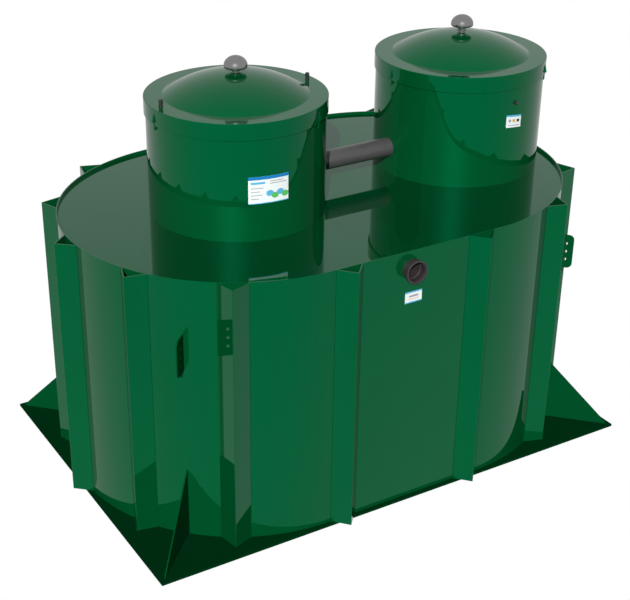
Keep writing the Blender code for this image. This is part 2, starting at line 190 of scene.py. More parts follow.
# Light: the sun stands in the front left, and the room is white only to what reflects it
SUN_FROM = Vector((-0.5146, -0.6955, 0.5015))
SUN_STRENGTH = 4.4
SUN_ANGLE = 0.5
BACK_FROM = Vector((0.46, 0.80, 0.30))
BACK_STRENGTH = 1.1
ROOM_WHITE = 0.68                  # what a gloss reflects
ROOM_DIM = 0.03                    # what lights a surface
GLARE_NARROWNESS = 25.5
GLARE_ONCE = 1.5
GLARE_TWICE = 4.0                  # more of it, for what reflects a reflection
FLOOR_HALF = 60.0

# Camera, fitted to the photograph
IMAGE_WIDTH = 630
IMAGE_HEIGHT = 600
CAMERA_PLACE = Vector((-3.8555, -6.1579, 4.5535))
CAMERA_YAW = -29.9898
CAMERA_PITCH = -27.4823
FOCAL_PIXELS = 1368.07
CENTRE_PIXEL = (270.23, 305.41)
SENSOR = 36.0


class Channel:
    """An output of a node. Sums written on it become Math nodes."""

    def __init__(self, finish, socket):
        self.finish = finish
        self.socket = socket

    def output(self, name):
        """Another output of the same node."""
        return Channel(self.finish, self.socket.node.outputs[name])

    def __add__(self, other):
        return self.finish.sum("ADD", self, other)

    def __sub__(self, other):
        return self.finish.sum("SUBTRACT", self, other)

    def __rsub__(self, other):
        return self.finish.sum("SUBTRACT", other, self)

    def __mul__(self, other):
        return self.finish.sum("MULTIPLY", self, other)

    def __gt__(self, other):
        return self.finish.sum("GREATER_THAN", self, other)

    def __lt__(self, other):
        return self.finish.sum("LESS_THAN", self, other)

    def __pow__(self, other):
        return self.finish.sum("POWER", self, other)

    def __rpow__(self, other):
        return self.finish.sum("POWER", other, self)

    __radd__ = __add__
    __rmul__ = __mul__


class Finish:
    """A node tree in the making: a piece's material, or the light of the room."""

    def __init__(self, owner, slot=None):
        owner.use_nodes = True
        self.owner = owner
        self.slot = slot
        self.tree = owner.node_tree
        self.tree.nodes.clear()

    def add(self, kind, settings=None, sockets=None, out=0):
        """A node: its settings first, then the values or links of its sockets."""
        node = self.tree.nodes.new(kind)
        for name, value in (settings or {}).items():
            setattr(node, name, value)
        for name, value in (sockets or {}).items():
            if isinstance(value, Channel):
                self.tree.links.new(value.socket, node.inputs[name])
            else:
                node.inputs[name].default_value = value
        return Channel(self, node.outputs[out]) if node.outputs else None

    def sum(self, operation, first, second):
        return self.add("ShaderNodeMath", {"operation": operation}, {0: first, 1: second})

    def mix(self, share, first, second):
        """A colour between two, by a share from 0 to 1."""
        return self.add("ShaderNodeMix", {"data_type": "RGBA"}, {0: share, 6: first, 7: second}, out=2)

    def varied(self, share, colour, spread):
        """A colour that runs from darker to lighter by a share, so far each way."""
        return self.mix(share, shade(colour, 1 - spread), shade(colour, 1 + spread))

    def noise(self, place, scale, detail=2.0, rough=0.5):
        return self.add("ShaderNodeTexNoise", {"noise_dimensions": "3D"},
                        {"Vector": place, "Scale": scale, "Detail": detail, "Roughness": rough})

    def stretched(self, place, scale):
        """A place squeezed along the axes, which stretches the marks that read it."""
        return self.add("ShaderNodeMapping", {"vector_type": "POINT"}, {"Vector": place, "Scale": scale})

    def object_place(self):
        return self.add("ShaderNodeTexCoord", out="Object")

    def bump(self, height, distance, strength=1.0):
        return self.add("ShaderNodeBump", {},
                        {"Height": height, "Distance": distance, "Strength": strength})

    def surface(self, sockets):
        """Close the tree with the shader that these sockets describe."""
        shader = self.add("ShaderNodeBsdfPrincipled", {}, sockets)
        self.add("ShaderNodeOutputMaterial", {}, {"Surface": shader})
        return self


def shade(colour, factor):
    """A colour made lighter or darker, as RGBA."""
    return tuple(part * factor for part in colour) + (1.0,)


def glossy_sheet(name, slot, colour, shine=0.5):
    """Extruded plastic sheet: nearly a mirror, with clouds in its colour and a faint orange peel."""
    finish = Finish(bpy.data.materials.new(name), slot)
    place = finish.object_place()
    clouds = finish.noise(place, CLOUD_SCALE, 3.0)
    haze = finish.noise(place, HAZE_SCALE, 3.0)
    mottle = finish.noise(place, MOTTLE_SCALE, 2.0)
    rolled = finish.noise(finish.stretched(place, ROLLING_SCALE), 1.0, 2.0)
    peel = finish.noise(place, PEEL_SCALE, 1.0)
    share = 0.55 * clouds + 0.25 * mottle + 0.2 * rolled
    return finish.surface({
        "Base Color": finish.varied(share, colour, SHEET_SPREAD),
        "Roughness": 0.014 + 0.03 * haze * mottle,
        "IOR": SHEET_IOR,
        "Specular IOR Level": shine,
        "Specular Tint": SHEET_TINT,
        "Normal": finish.bump(0.8 * rolled + 0.1 * peel, SHEET_DEPTH),
    })


def moulded(name, slot, colour, roughness, grain, ior=MOULDED_IOR):
    """Moulded fitting plastic, with a fine grain and worn, duller patches."""
    finish = Finish(bpy.data.materials.new(name), slot)
    place = finish.object_place()
    patches = finish.noise(place, PATCH_SCALE, 3.0)
    speckle = finish.noise(place, grain, 2.0)
    return finish.surface({
        "Base Color": finish.varied(0.6 * patches + 0.4 * speckle, colour, MOULDED_SPREAD),
        "Roughness": roughness - 0.05 + 0.1 * patches,
        "IOR": ior,
        "Normal": finish.bump(speckle, GRAIN_DEPTH, 0.5),
    })


class Print:
    """Plain bars and dots printed on a white film, placed by the film's own UV map."""

    def __init__(self, name):
        self.finish = Finish(bpy.data.materials.new(name), "label_film")
        corner = self.finish.add("ShaderNodeUVMap", {"uv_map": "print"})
        self.across = self.finish.add("ShaderNodeSeparateXYZ", {}, {"Vector": corner})
        self.up = self.across.output("Y")
        self.fibre = self.finish.noise(self.finish.object_place(), FIBRE_SCALE)
        self.colour = self.finish.mix(self.fibre, (0.80, 0.86, 0.86, 1.0), (0.90, 0.95, 0.95, 1.0))

    def ink(self, mask, colour):
        self.colour = self.finish.mix(mask, self.colour, colour + (1.0,))

    def bar(self, left, right, low, high, colour):
        mask = (self.across > left) * (self.across < right) * (self.up > low) * (self.up < high)
        self.ink(mask, colour)

    def dot(self, across, up, radius, aspect, colour):
        """A round dot; aspect is the film's width over its height."""
        square = ((self.across - across) * aspect) ** 2.0 + (self.up - up) ** 2.0
        self.ink(square < radius ** 2, colour)

    def surface(self):
        return self.finish.surface({
            "Base Color": self.colour,
            "Roughness": 0.45 + 0.1 * self.fibre,
            "IOR": FILM_IOR,
        })


BLUE = (0.010, 0.20, 0.52)
PALE_BLUE = (0.10, 0.45, 0.72)
LEAF = (0.10, 0.50, 0.12)
GREY_INK = (0.36, 0.36, 0.40)
AMBER = (0.75, 0.42, 0.04)
DARK_INK = (0.03, 0.04, 0.05)


def shaft_print():
    """A blue head band, grey lines and a row of coloured dots."""
    film = Print("large_label_film")
    film.bar(0.0, 1.0, 0.88, 1.0, BLUE)
    film.bar(0.06, 0.40, 0.72, 0.80, PALE_BLUE)
    for line, right in enumerate((0.36, 0.28, 0.33, 0.25)):
        low = 0.56 - 0.13 * line
        film.bar(0.06, right, low, low + 0.03, GREY_INK)
    film.bar(0.52, 0.94, 0.70, 0.73, GREY_INK)
    film.bar(0.52, 0.86, 0.78, 0.81, GREY_INK)
    for number, colour in enumerate((PALE_BLUE, LEAF, PALE_BLUE, LEAF)):
        film.dot(0.52 + 0.13 * number, 0.36 - 0.10 * (number % 2), 0.11, LARGE_ASPECT, colour)
    film.bar(0.0, 1.0, 0.0, 0.03, PALE_BLUE)
    return film.surface()


def small_print():
    """Three plain dots under a thin blue band."""
    film = Print("small_label_film")
    film.bar(0.0, 1.0, 0.86, 1.0, PALE_BLUE)
    for number, colour in enumerate((GREY_INK, AMBER, DARK_INK)):
        film.dot(0.22 + 0.28 * number, 0.55, 0.13, SMALL_ASPECT, colour)
    film.bar(0.12, 0.88, 0.14, 0.20, GREY_INK)
    return film.surface()


def wall_print():
    """Blue bands at the head and the foot, and two grey lines between them."""
    film = Print("wall_label_film")
    film.bar(0.0, 1.0, 0.88, 1.0, PALE_BLUE)
    film.bar(0.0, 1.0, 0.0, 0.10, PALE_BLUE)
    film.bar(0.24, 0.78, 0.50, 0.66, GREY_INK)
    film.bar(0.20, 0.82, 0.30, 0.36, AMBER)
    return film.surface()


def wire(bm, points, closed=False):
    """Points joined by edges, in order."""
    verts = [bm.verts.new(point) for point in points]
    for pair in zip(verts, verts[1:]):
        bm.edges.new(pair)
    if closed:
        bm.edges.new((verts[-1], verts[0]))
    return verts


def round_corners(bm, verts, reaches, steps=CORNER_STEPS):
    """Turn corners of an outline into arcs that start so far from the corner."""
    for vert, reach in zip(verts, reaches):
        if reach:
            bmesh.ops.bevel(bm, geom=[vert], offset=reach, offset_type="OFFSET", affect="VERTICES",
                            segments=steps, profile=0.5, material=-1)


def soften(bm, reach=EDGE, steps=2, where=None):
    """Round off the sharp edges of a closed form."""
    bmesh.ops.recalc_face_normals(bm, faces=bm.faces)
    edges = [edge for edge in bm.edges
             if edge.is_manifold and edge.calc_face_angle() > math.radians(SHARP)
             and (where is None or where(edge))]
    bmesh.ops.bevel(bm, geom=edges, offset=reach, offset_type="OFFSET", affect="EDGES",
                    segments=steps, profile=0.5, material=-1, clamp_overlap=True)


def move(bm, *steps):
    """Apply transforms to a whole form, in the order given."""
    for matrix in steps:
        bmesh.ops.transform(bm, matrix=matrix, verts=bm.verts)


def shift(x=0.0, y=0.0, z=0.0):
    return Matrix.Translation((x, y, z))


def turn(degrees, axis="Z"):
    return Matrix.Rotation(math.radians(degrees), 4, axis)


def turned(corners, steps, closed=False):
    """A profile of (radius, height, rounding) corners, spun about the Z axis."""
    bm = bmesh.new()
    verts = wire(bm, [(radius, 0, height) for radius, height, _ in corners], closed)
    round_corners(bm, verts, [reach for _, _, reach in corners])
    bmesh.ops.spin(bm, geom=bm.verts[:] + bm.edges[:], cent=(0, 0, 0), axis=(0, 0, 1),
                   angle=WHOLE_TURN, steps=steps, use_merge=True, use_duplicate=False)
    bmesh.ops.remove_doubles(bm, verts=bm.verts, dist=MERGE)
    bmesh.ops.recalc_face_normals(bm, faces=bm.faces)
    return bm


def outline(bm, corners):
    """A closed outline of (x, y, rounding) corners in the XY plane."""
    verts = wire(bm, [(x, y, 0) for x, y, _ in corners], closed=True)
    round_corners(bm, verts, [reach for _, _, reach in corners])


def thicken(bm, thickness):
    """Fill the outlines, the inner ones as holes, and give the plate its thickness."""
    bmesh.ops.triangle_fill(bm, edges=bm.edges, use_beauty=True, use_dissolve=False, normal=(0, 0, 1))
    region = bmesh.ops.extrude_face_region(bm, geom=bm.faces[:])["geom"]
    lifted = [part for part in region if isinstance(part, bmesh.types.BMVert)]
    bmesh.ops.translate(bm, verts=lifted, vec=(0, 0, thickness))
    bmesh.ops.translate(bm, verts=bm.verts, vec=(0, 0, -thickness / 2))
    bmesh.ops.recalc_face_normals(bm, faces=bm.faces)


def end_axis(degrees):
    """X of the axis of the round end that a direction belongs to."""
    return STRAIGHT if math.cos(math.radians(degrees)) > 0 else -STRAIGHT


def arc(radius, start, end, steps):
    """(x, height) points of an arc about the origin, from start to end in degrees."""
    return [(radius * math.cos(math.radians(start + (end - start) * i / steps)),
             radius * math.sin(math.radians(start + (end - start) * i / steps)))
            for i in range(steps + 1)]


def make_object(name, bm):
    mesh = bpy.data.meshes.new(name)
    bm.to_mesh(mesh)
    bm.free()
    obj = bpy.data.objects.new(name, mesh)
    bpy.context.scene.collection.objects.link(obj)
    return obj


def hang(obj, finish, replaced):
    """Give a piece its finish, fix it to the tank and let it stand for its solids."""
    obj.data.materials.append(finish.owner)
    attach(obj, "root")
    if replaced:
        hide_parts(*replaced)
    return obj


def piece(name, bm, finish, *replaced):
    """A finished piece with smooth rounds and flat flats."""
    bmesh.ops.remove_doubles(bm, verts=bm.verts, dist=MERGE)
    bmesh.ops.recalc_face_normals(bm, faces=bm.faces)
    for face in bm.faces:
        face.smooth = True
    obj = make_object(name, bm)
    obj.data.set_sharp_from_angle(angle=math.radians(SHARP))
    flats = obj.modifiers.new("flat faces", "WEIGHTED_NORMAL")
    flats.keep_sharp = True
    return hang(obj, finish, replaced)


def base_plate(finish):
    bm = bmesh.new()
    bmesh.ops.create_cube(bm, size=1)
    size = base_high - base_low
    move(bm, Matrix.Diagonal((*size, 1)), Matrix.Translation((base_low + base_high) / 2))
    soften(bm)
    piece("base_plate_sheet", bm, finish, "base_plate")


def flat_walls(finish):
    """The two flat sheets, each with the hole of its socket."""
    socket_low, socket_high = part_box("inlet_socket")
    middle = (socket_low + socket_high) / 2
    for name, side in (("front_wall", -1), ("back_wall", 1)):
        low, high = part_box(name)
        bm = bmesh.new()
        outline(bm, [(low.x, low.z, 0), (high.x, low.z, 0), (high.x, high.z, 0), (low.x, high.z, 0)])
        bmesh.ops.create_circle(bm, cap_ends=False, radius=PIPE_OUTER + JOINT, segments=SMALL_STEPS,
                                matrix=shift(middle.x, middle.z))
        thicken(bm, WALL)
        move(bm, turn(90, "X"), shift(y=side * (RADIUS - WALL / 2)))
        soften(bm, where=lambda edge: min(vert.co.z for vert in edge.verts) > RIM - EDGE)
        piece(name + "_sheet", bm, finish, name)


def round_walls(finish):
    """Six bent sheets, each a rectangle spun through 60 degrees."""
    gap = math.degrees(JOINT / RADIUS)
    for name, start in END_SEGMENTS.items():
        bm = bmesh.new()
        section = ((INNER, FOOT), (RADIUS, FOOT), (RADIUS, RIM), (INNER, RIM))
        bm.faces.new([bm.verts.new((x, 0, z)) for x, z in section])
        move(bm, turn(start + gap / 2))
        bmesh.ops.spin(bm, geom=bm.verts[:] + bm.edges[:] + bm.faces[:], cent=(0, 0, 0), axis=(0, 0, 1),
                       angle=math.radians(60 - gap), steps=BEND_STEPS, use_duplicate=False)
        bmesh.ops.remove_doubles(bm, verts=bm.verts, dist=MERGE)
        soften(bm, where=lambda edge: min(vert.co.z for vert in edge.verts) > RIM - EDGE)
        move(bm, shift(end_axis(start + 1)))
        piece(name + "_sheet", bm, finish, name)


def rib_seat(on_flat):
    """Distance of the wall from the rib's own origin, under the rib's two edges."""
    return (RADIUS if on_flat else math.sqrt(RADIUS ** 2 - RIB_HALF ** 2)) + JOINT


def each_rib():
    """Name, axis, direction and seat of every rib."""
    for number, degrees in enumerate(RIB_ANGLES, 1):
        yield f"rib_right_{number}", STRAIGHT, degrees, rib_seat(False)
        yield f"rib_left_{number}", -STRAIGHT, 180 - degrees, rib_seat(False)
    for number, x in enumerate((-FLAT_RIB, FLAT_RIB), 1):
        yield f"rib_front_{number}", x, -90, rib_seat(True)
        yield f"rib_back_{number}", x, 90, rib_seat(True)


def ribs(finish):
    """Sheets folded to a V, open at the top, that stiffen the wall."""
    depth = RIB_TIP - RADIUS
    slope = math.hypot(depth, RIB_HALF)
    inner_half = RIB_HALF - RIB_SHEET * slope / depth
    inner_tip = RIB_TIP - RIB_SHEET * slope / RIB_HALF
    for name, x, degrees, seat in each_rib():
        bm = bmesh.new()
        outline(bm, [(seat, -RIB_HALF, 0), (RIB_TIP, 0, RIB_FOLD), (seat, RIB_HALF, 0),
                     (seat, inner_half, 0), (inner_tip, 0, RIB_FOLD / 2), (seat, -inner_half, 0)])
        thicken(bm, RIM - FOOT)
        soften(bm)
        move(bm, shift(z=(RIM + FOOT) / 2), turn(degrees), shift(x))
        piece(name + "_fold", bm, finish, name)


def stand_out(bm, degrees):
    """Stand a plate drawn in XY upright on a diagonal, its X pointing away from the tank."""
    move(bm, turn(90, "X"), turn(degrees), shift(end_axis(degrees)))


def gussets(finish):
    """Blunt triangles that tie the wall to the corners of the base plate."""
    inner = RADIUS + JOINT
    outer = RADIUS + GUSSET_REACH
    for place, degrees in DIAGONALS.items():
        bm = bmesh.new()
        outline(bm, [(inner, FOOT, 0), (outer, FOOT, 0), (outer, FOOT + GUSSET_TIP, 0),
                     (inner, FOOT + GUSSET_HEIGHT, 0)])
        thicken(bm, GUSSET_SHEET)
        soften(bm)
        stand_out(bm, degrees)
        piece(f"gusset_{place}_sheet", bm, finish, f"gusset_{place}")


def lugs(finish):
    """Lifting plates with two round corners and three holes."""
    for place, degrees in DIAGONALS.items():
        name = f"lifting_lug_{place}"
        low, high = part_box(name)
        inner = RADIUS + JOINT
        outer = RADIUS + LUG_REACH
        bm = bmesh.new()
        outline(bm, [(inner, low.z, 0), (outer, low.z, LUG_CORNER), (outer, high.z, LUG_CORNER),
                     (inner, high.z, 0)])
        for step in (-1, 0, 1):
            centre = shift(RADIUS + LUG_HOLE_REACH, (low.z + high.z) / 2 + step * LUG_PITCH)
            bmesh.ops.create_circle(bm, cap_ends=False, radius=LUG_HOLE, segments=FINE_STEPS,
                                    matrix=centre)
        thicken(bm, LUG_SHEET)
        soften(bm)
        stand_out(bm, degrees)
        piece(f"{name}_plate", bm, finish, name)


def round_normals(obj, x, radius, wall):
    """Shade a drilled tube as a true cylinder, whatever the faces round its hole."""
    mesh = obj.data
    normals = []
    for face in mesh.polygons:
        flat = abs(face.normal.z) > TUBE_LEVEL
        for loop in face.loop_indices:
            place = mesh.vertices[mesh.loops[loop].vertex_index].co
            out = Vector((place.x - x, place.y, 0))
            on_tube = min(abs(out.length - radius), abs(out.length - radius + wall)) < MERGE * 10
            facing = face.normal.dot(out.normalized())
            smooth = on_tube and not flat and abs(facing) > TUBE_FACING
            normals.append(out.normalized() * math.copysign(1, facing) if smooth else face.normal)
    mesh.normals_split_custom_set(normals)


def drilled(bm, tool):
    """One form less another."""
    body, drill = make_object("drilled", bm), make_object("drill", tool)
    cut = body.modifiers.new("hole", "BOOLEAN")
    cut.object = drill
    result = bmesh.new()
    result.from_object(body, bpy.context.evaluated_depsgraph_get())
    for spare in (body, drill):
        bpy.data.objects.remove(spare, do_unlink=True)
    return result


def shafts(finish):
    """Two upright tubes on the deck, drilled for the pipe between them."""
    pipe_low, pipe_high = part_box("cross_pipe")
    pipe_z = (pipe_low.z + pipe_high.z) / 2
    for name, side in (("shaft_1", 1), ("shaft_2", -1)):
        low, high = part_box(name)
        x, radius = (low.x + high.x) / 2, high.y
        levels = (low.z, pipe_z - 2 * PIPE_OUTER, pipe_z + 2 * PIPE_OUTER, high.z)
        profile = [(radius, z, 0) for z in levels] + [(radius - SHAFT_WALL, z, 0) for z in levels[::-1]]
        bm = turned(profile, ROUND_STEPS, closed=True)
        move(bm, shift(x))
        tool = bmesh.new()
        bmesh.ops.create_cone(tool, cap_ends=True, segments=SMALL_STEPS, radius1=PIPE_OUTER + JOINT,
                              radius2=PIPE_OUTER + JOINT, depth=4 * PIPE_OUTER,
                              matrix=shift(x + side * radius, 0, pipe_z) @ turn(90, "Y"))
        bm = drilled(bm, tool)
        obj = make_object(name + "_tube", bm)
        round_normals(obj, x, radius, SHAFT_WALL)
        hang(obj, finish, [name])


def clip(bm, x, degrees, lid_radius, lid_top):
    """A strap on the skirt with a hooked head."""
    form = bmesh.new()
    root = lid_radius - CLIP_ROOT
    strap = lid_radius + CLIP_STRAP
    nose = lid_radius + CLIP_HOOK
    outline(form, [(root, lid_top - CLIP_FOOT, 0), (strap, lid_top - CLIP_FOOT, SOFT_ROUND),
                   (strap, lid_top - CLIP_NOSE, FINE_ROUND), (nose, lid_top - CLIP_NOSE, FINE_ROUND),
                   (nose, lid_top - CLIP_LIP, FINE_ROUND), (strap, lid_top - CLIP_HEAD, SOFT_ROUND),
                   (root, lid_top - CLIP_HEAD, 0)])
    thicken(form, CLIP_WIDTH)
    soften(form)
    move(form, turn(90, "X"), turn(degrees), shift(x))
    join(bm, form)


def join(bm, form):
    """Add one form's faces to another's mesh."""
    spare = bpy.data.meshes.new("spare")
    form.to_mesh(spare)
    form.free()
    bm.from_mesh(spare)
    bpy.data.meshes.remove(spare)


def lids(finish):
    """A domed cover with a flat ring, a skirt and three clips, on each shaft."""
    sphere = (DOME_RADIUS ** 2 + DOME_HEIGHT ** 2) / (2 * DOME_HEIGHT)
    half_angle = math.degrees(math.asin(DOME_RADIUS / sphere))
    for number in (1, 2):
        node = f"lid_{number}"
        shaft_low, shaft_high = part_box(f"shaft_{number}")
        low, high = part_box(node)
        x = (shaft_low.x + shaft_high.x) / 2
        radius = high.y
        top = high.z - DOME_HEIGHT
        dome = arc(sphere, 90, 90 - half_angle, DOME_STEPS)[1:-1]
        profile = [(0, high.z, 0)] + [(across, high.z - sphere + up, 0) for across, up in dome]
        profile += [(DOME_RADIUS, top, DOME_CREASE), (radius, top, LID_EDGE), (radius, top - SKIRT, 0)]
        bm = turned(profile, ROUND_STEPS)
        bmesh.ops.recalc_face_normals(bm, faces=bm.faces)
        bmesh.ops.solidify(bm, geom=bm.faces[:], thickness=LID_WALL)
        soften(bm, where=lambda edge: max(vert.co.z for vert in edge.verts) < top - SKIRT + EDGE)
        move(bm, shift(x))
        for degrees in CLIP_ANGLES[node]:
            clip(bm, x, degrees, radius, top)
        piece(f"{node}_cover", bm, finish, node)


def knobs(finish):
    """A mushroom knob in the middle of each lid: a domed cap over a tapered collar and a stem."""
    for number in (1, 2):
        low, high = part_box(f"knob_{number}")
        x, radius = (low.x + high.x) / 2, high.y
        under = high.z - KNOB_CAP
        rim = under + KNOB_TAPER
        widest = rim + KNOB_LIP
        collar_foot = under - KNOB_COLLAR_HEIGHT
        cap = arc(1.0, 90, 0, CAP_STEPS)[1:]
        profile = [(0, high.z, 0)]
        profile += [(across * radius, widest + up * (high.z - widest), 0) for across, up in cap]
        profile += [(KNOB_LIP_RADIUS, rim, KNOB_LIP_ROUND), (KNOB_TAPER_RADIUS, rim, FINE_ROUND),
                    (KNOB_COLLAR, under, FINE_ROUND), (KNOB_COLLAR, collar_foot, FINE_ROUND),
                    (KNOB_STEM, collar_foot, FINE_ROUND), (KNOB_STEM, low.z + KNOB_FILLET, SOFT_ROUND),
                    (KNOB_STEM + KNOB_FILLET, low.z, 0), (0, low.z, 0)]
        bm = turned(profile, SMALL_STEPS)
        move(bm, shift(x))
        piece(f"knob_{number}_turned", bm, finish, f"knob_{number}")


def bolts(finish):
    """Round-headed studs with a washer, on the flat ring of the first lid."""
    for side in ("left", "right"):
        name = f"lid_bolt_{side}"
        low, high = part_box(name)
        x, radius = (low.x + high.x) / 2, high.y
        neck = radius * BOLT_NECK
        profile = [(0, high.z, 0), (radius, high.z, BOLT_DOME), (radius, high.z - BOLT_HEAD, SOFT_ROUND),
                   (neck, high.z - BOLT_HEAD, FINE_ROUND), (neck, low.z + BOLT_WASHER, FINE_ROUND),
                   (radius, low.z + BOLT_WASHER, FINE_ROUND), (radius, low.z, 0), (0, low.z, 0)]
        bm = turned(profile, FINE_STEPS)
        move(bm, shift(x))
        piece(f"{name}_stud", bm, finish, name)


def cross_pipe(finish):
    """The pipe that joins the two shafts above the deck."""
    low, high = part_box("cross_pipe")
    length = high.x - low.x
    bore = PIPE_OUTER - PIPE_WALL
    profile = [(PIPE_OUTER, length / 2, FINE_ROUND), (PIPE_OUTER, -length / 2, FINE_ROUND),
               (bore, -length / 2, 0), (bore, length / 2, 0)]
    bm = turned(profile, SMALL_STEPS, closed=True)
    move(bm, turn(90, "Y"), Matrix.Translation((low + high) / 2))
    piece("cross_pipe_tube", bm, finish, "cross_pipe")


def sockets(finish, seal):
    """Push-fit sockets with a beaded mouth and a rubber ring inside."""
    bore = PIPE_OUTER - PIPE_WALL
    for name, side in (("inlet_socket", -1), ("outlet_socket", 1)):
        low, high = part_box(name)
        middle = (low + high) / 2
        reach = max(abs(low.y), abs(high.y)) - RADIUS
        depth = RADIUS - min(abs(low.y), abs(high.y))
        bead = (high.x - low.x) / 2
        bead_foot = reach - BEAD_LENGTH
        profile = [(bead, reach, BEAD_ROUND), (bead, bead_foot, BEAD_ROUND),
                   (SOCKET_BODY, bead_foot - SOCKET_SLOPE, SOFT_ROUND), (SOCKET_BODY, JOINT, 0),
                   (PIPE_OUTER, JOINT, 0), (PIPE_OUTER, -depth, 0), (bore, -depth, 0),
                   (bore, JOINT, FINE_ROUND), (SOCKET_BORE, SOCKET_SLOPE, FINE_ROUND),
                   (SOCKET_BORE, reach - MOUTH_LENGTH, FINE_ROUND),
                   (SOCKET_BORE + MOUTH_FLARE, reach, FINE_ROUND)]
        bm = turned(profile, SMALL_STEPS, closed=True)
        place = (turn(-90 * side, "X"), shift(middle.x, side * RADIUS, middle.z))
        move(bm, *place)
        piece(f"{name}_ring", bm, finish, name)
        lip = SOCKET_BORE - SEAL_HEIGHT
        front, back = reach - SEAL_DEPTH, reach - SEAL_DEPTH - SEAL_LENGTH
        section = [(SOCKET_BORE, front, 0), (lip, front - SEAL_SLOPE, FINE_ROUND),
                   (lip, back + SEAL_SLOPE, FINE_ROUND), (SOCKET_BORE, back, 0)]
        ring = turned(section, SMALL_STEPS, closed=True)
        move(ring, *place)
        piece(f"{name}_seal", ring, seal)


def cable_gland(finish):
    """A hexagon nut, a round cap and a plugged mouth."""
    low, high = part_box("cable_gland")
    shaft_low, shaft_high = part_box("shaft_2")
    centre = (low + high) / 2
    axis = Vector(((shaft_low.x + shaft_high.x) / 2, 0, centre.z))
    out = (centre - axis).normalized()
    radius = (high.z - low.z) / 2
    root = axis + out * (shaft_high.y + JOINT)
    bm = bmesh.new()
    bmesh.ops.create_cone(bm, cap_ends=True, segments=GLAND_SIDES, radius1=radius, radius2=radius,
                          depth=GLAND_NUT, matrix=shift(z=GLAND_NUT / 2))
    soften(bm, GLAND_NUT_EDGE)
    join(bm, turned([(0, GLAND_PLUG, 0), (GLAND_MOUTH, GLAND_PLUG, GLAND_ROUND),
                     (GLAND_MOUTH, GLAND_TOP, GLAND_ROUND), (GLAND_CAP, GLAND_TOP, SOFT_ROUND),
                     (GLAND_SHOULDER, GLAND_NUT, 0), (0, GLAND_NUT, 0)], FINE_STEPS))
    move(bm, out.to_track_quat("Z", "Y").to_matrix().to_4x4(), Matrix.Translation(root))
    piece("cable_gland_body", bm, finish, "cable_gland")


def rim_strip(finish):
    """The short upright strip inside the rim, where the wall sheets lap."""
    low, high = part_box("rim_strip")
    half = STRIP_SHEET / 2
    start = Vector((low.x + STRIP_LEAN + half, high.y - half, low.z))
    end = Vector((high.x - half, low.y + STRIP_LEAN + half, low.z))
    along = end - start
    bm = bmesh.new()
    outline(bm, [(0, -half, 0), (along.length, -half, 0), (along.length, half, 0), (0, half, 0)])
    thicken(bm, high.z - low.z)
    soften(bm)
    move(bm, shift(z=(high.z - low.z) / 2), turn(math.degrees(math.atan2(along.y, along.x))),
         Matrix.Translation(start))
    piece("rim_strip_bar", bm, finish, "rim_strip")


def weld_run(bm, start, end):
    """A straight weld bead between two points."""
    along = end - start
    place = Matrix.Translation((start + end) / 2) @ along.to_track_quat("Z", "Y").to_matrix().to_4x4()
    bmesh.ops.create_cone(bm, cap_ends=True, segments=WELD_SIDES, radius1=WELD, radius2=WELD,
                          depth=along.length, matrix=place)


def on_base(start, end):
    """The end of a foot's weld, drawn back to the edge of the base plate."""
    share = 1.0
    for axis in (0, 1):
        limit = base_high[axis] - WELD
        if abs(end[axis]) > limit:
            share = min(share, (limit - abs(start[axis])) / (abs(end[axis]) - abs(start[axis])))
    return start.lerp(end, share)


def rib_welds(finish):
    """Beads up both edges of every rib, and round its foot."""
    bm = bmesh.new()
    for _, x, degrees, seat in each_rib():
        place = shift(x) @ turn(degrees)
        for side in (-1, 1):
            foot = place @ Vector((seat, side * RIB_HALF, FOOT))
            weld_run(bm, foot, foot + Vector((0, 0, RIM - FOOT - EDGE)))
            weld_run(bm, foot, on_base(foot, place @ Vector((RIB_TIP, 0, FOOT))))
    piece("rib_welds", bm, finish)


def gusset_welds(finish):
    """Beads along both sides of every gusset, on the wall and on the base plate."""
    bm = bmesh.new()
    for degrees in DIAGONALS.values():
        place = shift(end_axis(degrees)) @ turn(degrees)
        for side in (-1, 1):
            corner = place @ Vector((RADIUS, side * GUSSET_SHEET / 2, FOOT))
            tip = place @ Vector((RADIUS + GUSSET_REACH - EDGE, side * GUSSET_SHEET / 2, FOOT))
            weld_run(bm, corner, corner + Vector((0, 0, GUSSET_HEIGHT - EDGE)))
            weld_run(bm, corner, on_base(corner, tip))
    piece("gusset_welds", bm, finish)


def lug_welds(finish):
    """Beads along both sides of every lug, on the wall."""
    bm = bmesh.new()
    for place, degrees in DIAGONALS.items():
        low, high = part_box(f"lifting_lug_{place}")
        spot = shift(end_axis(degrees)) @ turn(degrees)
        for side in (-1, 1):
            weld_run(bm, spot @ Vector((RADIUS, side * LUG_SHEET / 2, low.z)),
                     spot @ Vector((RADIUS, side * LUG_SHEET / 2, high.z)))
    piece("lug_welds", bm, finish)


def obround_weld(name, radius, z, finish):
    """A weld bead all round the tank: two half turns joined by two straight runs."""
    bm = bmesh.new()
    bmesh.ops.create_circle(bm, cap_ends=False, radius=WELD, segments=WELD_SIDES,
                            matrix=shift(STRAIGHT, -radius, z) @ turn(90, "Y"))
    ring = bm.edges[:]
    for x in (STRAIGHT, -STRAIGHT):
        spun = bmesh.ops.spin(bm, geom=ring + list({vert for edge in ring for vert in edge.verts}),
                              cent=(x, 0, 0), axis=(0, 0, 1), angle=math.pi, steps=WELD_STEPS,
                              use_duplicate=False)
        last = [part for part in spun["geom_last"] if isinstance(part, bmesh.types.BMEdge)]
        run = bmesh.ops.extrude_edge_only(bm, edges=last)["geom"]
        bmesh.ops.translate(bm, verts=[part for part in run if isinstance(part, bmesh.types.BMVert)],
                            vec=(-2 * x, 0, 0))
        ring = [part for part in run if isinstance(part, bmesh.types.BMEdge)]
    piece(name, bm, finish)


